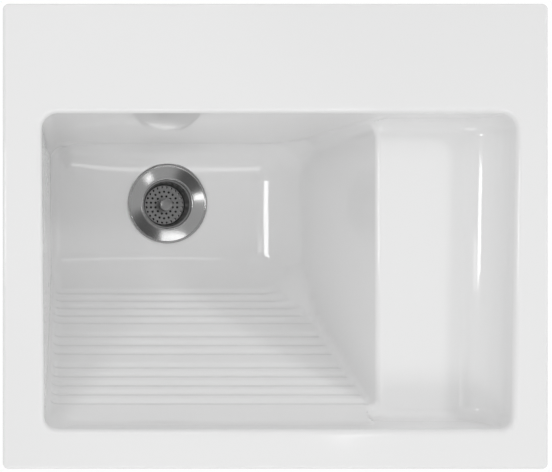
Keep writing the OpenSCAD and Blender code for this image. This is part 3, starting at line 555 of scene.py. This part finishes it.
finishes = {
    "gloss_white": gloss_white(),
    "laminate": laminate(),
    "board": plywood(),
    "foam": foam(),
    "brass": metal("brass", (0.72, 0.50, 0.20), 0.28, 0.3),
    "zinc": metal("zinc", (0.62, 0.64, 0.66), 0.34, 0.35, (1, 1, 1), 0.00003, 120),
    "polished_steel": metal("polished_steel", (0.38, 0.38, 0.38), 0.12, 0.25),
    "basket_steel": metal("basket_steel", (0.27, 0.27, 0.27), 0.3, 0.2),
    "black_rubber": rubber(),
    "fibre": pressed_fibre(),
    "white_nylon": nylon(),
    "nut_metal": metal("nut_metal", (0.50, 0.51, 0.52), 0.48, 0.3, (1, 1, 1), 0.0001, 250),
    "chrome_tube": metal("chrome_tube", (0.62, 0.63, 0.64), 0.09, 0.3),
}
for part in frame["record"]["subparts"]:
    for place in frame["nodes"][part["node"]].material_slots:
        place.material = finishes[part["material_slot"]]
# The photograph shows the post's knob in the basket's tone
for place in frame["nodes"]["basket_post"].material_slots:
    place.material = finishes["basket_steel"]


def finish_piece(obj, node, slot):
    """Gives a new piece its material and the sink's body, and hides the node that it stands for."""
    obj.data.materials.clear()
    obj.data.materials.append(finishes[slot])
    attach(obj, "sink")
    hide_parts(node)


def across(y):
    """The cut through the surface along X at y."""
    return lambda at: cast(at, np.full(at.shape, y), 0.0)


def lengthwise(x):
    """The cut through the surface along Y at x."""
    return lambda at: cast(np.full(at.shape, x), at, 0.0)


# The skin: the grid's lines over the basin, with the deck's corners beyond them
basin_x = even_lines(*GRID_X, [across(y) for y in CUTS_ALONG_X])
basin_y = even_lines(*GRID_Y, [lengthwise(x) for x in CUTS_ALONG_Y])
skin_x = with_rim(basin_x, RIM_W / 2 - RIM_CORNER_R)
skin_y = with_rim(basin_y, RIM_D / 2 - RIM_CORNER_R)
edge_turns = np.radians(np.linspace(0, 90, 7))
rim_loops = [(RIM_CORNER_R - RIM_EDGE_R - 0.5, 0.0)]
rim_loops += [
    (RIM_CORNER_R - RIM_EDGE_R * (1 - math.sin(a)), -RIM_EDGE_R * (1 - math.cos(a)))
    for a in edge_turns
]
rim_loops += [(RIM_CORNER_R, -RIM_H)]
rim_inside = [(RIM_CORNER_R - SKIN_T, -RIM_H), (RIM_CORNER_R - SKIN_T, -SKIN_T)]
skin = moulded_shell(
    "moulded_skin", skin_x, skin_y, 0.0, -SKIN_T, rim_loops, rim_inside, True, 2,
)
cut_drain(skin)
true_normals(skin, outside)
finish_piece(skin, "sink_skin", "gloss_white")

# The backing layer, on every second line
coarse_x = with_rim(basin_x[::2], RIM_W / 2 - LAMINATE_IN - RIM_CORNER_R)
coarse_y = with_rim(basin_y[::2], RIM_D / 2 - LAMINATE_IN - RIM_CORNER_R)
backing = moulded_shell(
    "glass_fibre_backing", coarse_x, coarse_y, -SKIN_T, -SHELL_T,
    [(RIM_CORNER_R, -SKIN_T)], [(RIM_CORNER_R, -SHELL_T)], False, 1,
)
cut_drain(backing)
true_normals(backing, lambda x, y, z: air(x, y, z, False))
finish_piece(backing, "backing_laminate", "laminate")

# The strainer, in heights above the basin's floor at the drain: its dished flange has a rolled
# edge and a rounded mouth, and the cup and the spigot are below
FLANGE_R, CUP_WALL, THROAT_R = 57.0, 3.0, 35.5
CUP_R, CUP_FLOOR, CUP_UNDER = THROAT_R + CUP_WALL, -57.0, -60.0
SPIGOT_R, SPIGOT_BORE_R, SPIGOT_END = 23.9, 20.0, -82.0
SEAL_T, EDGE_TOP = 1.0, 2.4
EDGE_T, EDGE_IN, EDGE_FOOT_IN = 0.35, 2.2, 2.8
MOUTH_OUT, MOUTH_FOOT_OUT, MOUTH_RISE, MOUTH_EDGE = 1.9, 2.6, 0.7, 0.4
STRAINER_SEGMENTS = 192


def under_flange(r):
    """Height of the flange's underside, on its seal, at radius r."""
    return SEAL_T - DISH_SLOPE * (SEAT_R - r)


def over_flange(r):
    """Height of the flange's dished top at radius r."""
    return EDGE_TOP - EDGE_T - DISH_SLOPE * (FLANGE_R - r)


strainer = lathe("strainer_flange_and_cup", rounded([
    (CUP_R, under_flange(CUP_R), 0), (FLANGE_R, under_flange(FLANGE_R), 0),
    (FLANGE_R, EDGE_TOP, 0.7), (FLANGE_R - EDGE_IN, EDGE_TOP, 0.9),
    (FLANGE_R - EDGE_FOOT_IN, over_flange(FLANGE_R - EDGE_FOOT_IN), 0.5),
    (THROAT_R + MOUTH_FOOT_OUT, over_flange(THROAT_R + MOUTH_FOOT_OUT), 0.5),
    (THROAT_R + MOUTH_OUT, over_flange(THROAT_R) + MOUTH_RISE, 0.5),
    (THROAT_R, over_flange(THROAT_R) + MOUTH_EDGE, 1.1),
    (THROAT_R, CUP_FLOOR, 2.0), (SPIGOT_BORE_R, CUP_FLOOR, 1.5),
    (SPIGOT_BORE_R, SPIGOT_END, 0.4), (SPIGOT_R, SPIGOT_END, 0.4), (SPIGOT_R, CUP_UNDER, 0),
    (CUP_R, CUP_UNDER, 1.0),
]), DRAIN, STRAINER_SEGMENTS)
finish_piece(strainer, "strainer_body", "polished_steel")

# The floor of the studio
FLOOR_HALF, FLOOR_GAP = 6.0, 0.002
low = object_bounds()[0][2]
floor_corners = np.array([[-1, -1, 0], [1, -1, 0], [1, 1, 0], [-1, 1, 0]]) * FLOOR_HALF
stage_floor = new_object(
    "studio_floor", floor_corners + np.array([0, 0, low - FLOOR_GAP]), [np.array([[0, 1, 2, 3]])],
)


def backdrop_material():
    """Pale floor: matt, and seen as white by the camera and in mirrors and glass."""
    mat = material("studio_floor", (0.85, 0.85, 0.85), 0.9)
    nodes, links = mat.node_tree.nodes, mat.node_tree.links
    glow = nodes.new("ShaderNodeEmission")
    glow.inputs["Color"].default_value = (1, 1, 1, 1)
    path = nodes.new("ShaderNodeLightPath")
    mix = nodes.new("ShaderNodeMixShader")
    seen = path.outputs["Is Camera Ray"]
    for ray in ("Is Glossy Ray", "Is Transmission Ray"):
        either = nodes.new("ShaderNodeMath")
        either.operation = "MAXIMUM"
        links.new(seen, either.inputs[0])
        links.new(path.outputs[ray], either.inputs[1])
        seen = either.outputs["Value"]
    links.new(seen, mix.inputs["Fac"])
    links.new(nodes["Principled BSDF"].outputs["BSDF"], mix.inputs[1])
    links.new(glow.outputs["Emission"], mix.inputs[2])
    links.new(mix.outputs["Shader"], nodes["Material Output"].inputs["Surface"])
    return mat


stage_floor.data.materials.append(backdrop_material())

# The photograph is taken from straight above, and its frame is shifted to the right. Pixels run
# from its top left corner: the point below the camera, and the middle of the deck
PHOTO_W, PHOTO_H = 552, 472
DECK_MM_PER_PX = 1.1621
PRINCIPAL_X, PRINCIPAL_Y = 62.0, 240.0
DECK_MID_X, DECK_MID_Y = 275.8, 236.35
CAMERA_UP = 1182.0
SENSOR = 36.0
camera_data = bpy.data.cameras.new("camera")
camera = bpy.data.objects.new("camera", camera_data)
bpy.context.scene.collection.objects.link(camera)
bpy.context.scene.camera = camera
camera_data.sensor_width = SENSOR
camera_data.lens = CAMERA_UP / DECK_MM_PER_PX / PHOTO_W * SENSOR
camera_data.shift_x = (PHOTO_W / 2 - PRINCIPAL_X) / PHOTO_W
camera_data.shift_y = (PRINCIPAL_Y - PHOTO_H / 2) / PHOTO_W
camera_data.clip_start, camera_data.clip_end = 0.01, 50
camera.location = (
    (PRINCIPAL_X - DECK_MID_X) * DECK_MM_PER_PX * MM,
    (DECK_MID_Y - PRINCIPAL_Y) * DECK_MM_PER_PX * MM,
    (RIM_H + CAMERA_UP) * MM,
)


# Each lamp's place, width, height and power. The three ring lamps are what the flange mirrors
LAMP_TARGET = Vector((0, 0, -0.1))
LAMPS = {
    "key": ((2.08, 0.97, 1.8), 0.28, 0.28, 9.5),
    "right": ((1.75, -0.1, 1.8), 0.45, 0.45, 1.2),
    "left": ((-1.3, 0.1, 1.8), 0.4, 0.4, 5),
    "back": ((-0.3, 1.45, 1.8), 1.4, 0.5, 1.6),
    "front": ((0.1, -2.0, 1.9), 1.8, 0.8, 12),
    "ring_left": ((-0.73, -0.05, 1.8), 0.16, 0.4, 0.55),
    "ring_front": ((0.59, -0.49, 1.8), 0.2, 0.12, 0.2),
    "ring_back": ((0.0, 0.93, 1.8), 0.6, 0.2, 0.8),
}
for name, (place, width, height, power) in LAMPS.items():
    data = bpy.data.lights.new(name, "AREA")
    data.shape, data.size, data.size_y, data.energy = "RECTANGLE", width, height, power
    lamp = bpy.data.objects.new(name, data)
    lamp.location = place
    lamp.rotation_euler = (LAMP_TARGET - Vector(place)).to_track_quat("-Z", "Y").to_euler()
    bpy.context.scene.collection.objects.link(lamp)

# The room's even light, with two dim patches: the tone, each patch's outer and inner angle in
# degrees and its share of the tone, and the directions
ROOM_TONE = 0.685
PATCH_OUTER, PATCH_INNER, PATCH_TONE = 14.0, 5.0, 0.25
PATCHES = ((-0.364, -0.508, 2.08), (0.796, 0.652, 2.08))
world = bpy.data.worlds.new("studio")
bpy.context.scene.world = world
world.use_nodes = True
sky = world.node_tree.nodes["Background"]
sky.inputs["Color"].default_value = (1, 1, 1, 1)
room = world.node_tree.nodes.new("ShaderNodeTexCoord")


def dark_patch(shade, toward):
    """The shade with a dim patch in one direction, which the strainer's flange mirrors."""
    nodes, links = world.node_tree.nodes, world.node_tree.links
    along = nodes.new("ShaderNodeVectorMath")
    along.operation = "DOT_PRODUCT"
    along.inputs[1].default_value = Vector(toward).normalized()
    links.new(room.outputs["Generated"], along.inputs[0])
    fade = nodes.new("ShaderNodeMapRange")
    fade.interpolation_type = "SMOOTHSTEP"
    fade.inputs["From Min"].default_value = math.cos(math.radians(PATCH_OUTER))
    fade.inputs["From Max"].default_value = math.cos(math.radians(PATCH_INNER))
    fade.inputs["To Min"].default_value, fade.inputs["To Max"].default_value = 1.0, PATCH_TONE
    links.new(along.outputs["Value"], fade.inputs["Value"])
    both = nodes.new("ShaderNodeMath")
    both.operation = "MULTIPLY"
    links.new(shade, both.inputs[0])
    links.new(fade.outputs["Result"], both.inputs[1])
    return both.outputs["Value"]


strength = world.node_tree.nodes.new("ShaderNodeValue")
strength.outputs[0].default_value = ROOM_TONE
shade = strength.outputs[0]
for toward in PATCHES:
    shade = dark_patch(shade, toward)
world.node_tree.links.new(shade, sky.inputs["Strength"])
